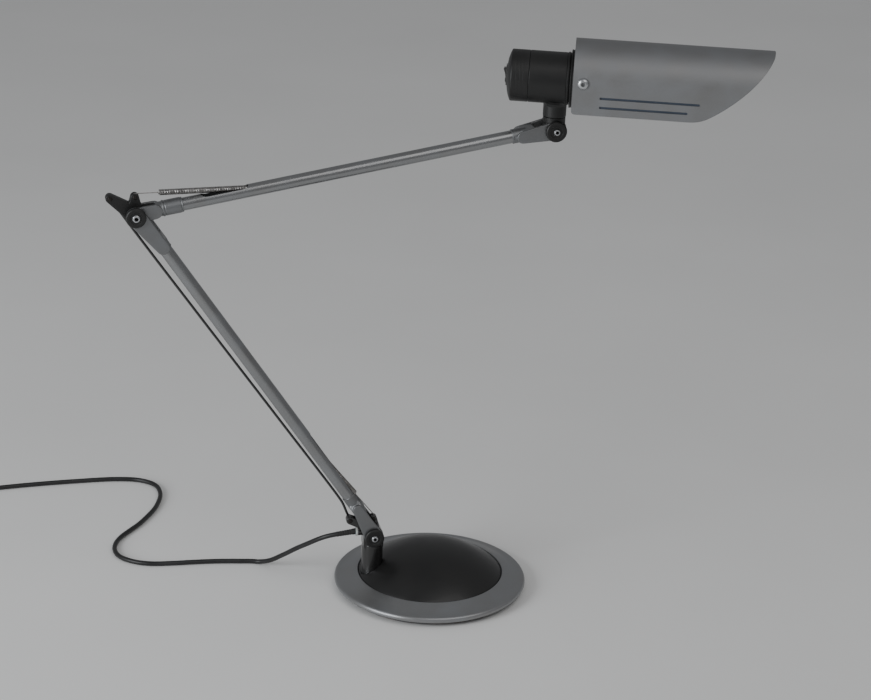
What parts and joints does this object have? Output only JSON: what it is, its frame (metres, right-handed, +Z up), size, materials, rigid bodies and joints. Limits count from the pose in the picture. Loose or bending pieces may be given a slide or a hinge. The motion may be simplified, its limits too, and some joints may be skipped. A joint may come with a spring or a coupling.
{
  "type": "architect desk lamp",
  "caption": "Desk lamp with a round domed base, two spring-balanced arms, a levelling rod and a trough shade with slots on a tilting, swivelling head.",
  "frame": {"origin": "centre of the base's underside, on the surface the lamp stands on", "axes": "+Z up; +X from the base towards the head, the arms in the XZ plane at rest"},
  "size_m": [0.9074, 0.5054, 0.5873],
  "materials": {
    "silver_paint": "satin silver-grey paint",
    "silver_cast": "satin silver-grey cast aluminium",
    "silver_tube": "satin drawn aluminium tube",
    "shade_metal": "silver-grey painted sheet, white inside",
    "black_plastic": "fine moulded black",
    "gloss_plastic": "gloss black",
    "gloss_black": "gloss black enamel",
    "steel": "zinc-plated",
    "spring_steel": "dark oiled spring wire",
    "iron": "raw cast",
    "rubber": "matte",
    "cord_rubber": "smooth flexible sheath",
    "nylon": "pale grey moulded nylon",
    "brass": "plain",
    "porcelain": "glazed white",
    "lamp_glass": "opal frosted"
  },
  "bodies": {
    "base": {"base_pad": "rubber", "bottom_plate": "iron", "ballast_weight": "iron", "base_flange": "silver_paint", "base_dome": "black_plastic", "swivel_bush": "brass", "cord": "cord_rubber", "cord_coil": "cord_rubber", "cord_tie": "black_plastic", "plug_lead": "cord_rubber", "plug_body": "cord_rubber", "plug_pin_left": "brass", "plug_pin_right": "brass"},
    "post": {"post": "gloss_black", "cord_gland": "nylon", "strain_relief": "rubber", "post_spring_pin": "steel", "post_rod_pin": "steel"},
    "lower_arm": {"lower_fork": "silver_cast", "lower_tube": "silver_tube", "lower_elbow_fork": "silver_cast", "lower_spring_anchor": "steel", "lower_spring": "spring_steel", "base_joint_cap_near": "black_plastic", "base_joint_cap_far": "black_plastic", "base_joint_bolt": "steel", "base_joint_nut": "steel"},
    "rod": {"parallel_rod": "gloss_black"},
    "bracket": {"elbow_bracket": "black_plastic", "bracket_spring_pin": "steel", "bracket_rod_pin": "steel"},
    "upper_arm": {"upper_elbow_casting": "silver_cast", "upper_tube": "silver_tube", "head_fork": "silver_cast", "upper_spring_anchor": "steel", "upper_spring": "spring_steel", "elbow_joint_cap_near": "black_plastic", "elbow_joint_cap_far": "black_plastic", "elbow_joint_bolt": "steel", "elbow_joint_nut": "steel", "head_joint_cap_near": "black_plastic", "head_joint_cap_far": "black_plastic", "head_joint_bolt": "steel", "head_joint_nut": "steel"},
    "knuckle": {"knuckle": "black_plastic"},
    "head": {"lamp_housing": "black_plastic", "housing_cap": "black_plastic", "switch_frame": "gloss_plastic", "housing_flange": "black_plastic", "shade": "shade_metal", "shade_bracket": "black_plastic", "shade_screw_near": "steel", "shade_screw_far": "steel", "lamp_holder": "porcelain", "bulb_base": "brass", "bulb_envelope": "lamp_glass"},
    "rocker": {"rocker_switch": "gloss_plastic"}
  },
  "joints": [
    {"name": "base_swivel", "type": "hinge", "parent": "base", "child": "post", "pos_m": [-0.062, 0, 0.03], "axis": [0, 0, 1], "range_deg": [-150, 150]},
    {"name": "lower_tilt", "type": "hinge", "parent": "post", "child": "lower_arm", "pos_m": [-0.062, 0, 0.0635], "axis": [0, 1, 0], "range_deg": [-3, 30], "deforming": ["lower_spring"]},
    {"name": "rod_swing", "type": "hinge", "parent": "post", "child": "rod", "pos_m": [-0.086, 0.0057, 0.0807], "axis": [0, 1, 0], "range_deg": [-3, 30]},
    {"name": "bracket_level", "type": "hinge", "parent": "lower_arm", "child": "bracket", "pos_m": [-0.30224, 0, 0.4229], "axis": [0, 1, 0], "range_deg": [-30, 3]},
    {"name": "elbow_tilt", "type": "hinge", "parent": "bracket", "child": "upper_arm", "pos_m": [-0.30224, 0, 0.4229], "axis": [0, 1, 0], "range_deg": [-35, 25], "deforming": ["upper_spring"]},
    {"name": "head_tilt", "type": "hinge", "parent": "upper_arm", "child": "knuckle", "pos_m": [0.11124, 0, 0.49551], "axis": [0, 1, 0], "range_deg": [-25, 60]},
    {"name": "head_swivel", "type": "hinge", "parent": "knuckle", "child": "head", "pos_m": [0.11124, 0, 0.49551], "axis": [0.0209, 0, 0.9998], "range_deg": [-75, 75]},
    {"name": "switch_rock", "type": "hinge", "parent": "head", "child": "rocker", "pos_m": [0.06669, 0.01317, 0.54796], "axis": [0.2773, 0.9608, -0.0058], "range_deg": [0, 16]}
  ],
  "couplings": [
    {"joint": "rod_swing", "follows": "lower_tilt", "ratio": 1},
    {"joint": "bracket_level", "follows": "lower_tilt", "ratio": -1}
  ]
}
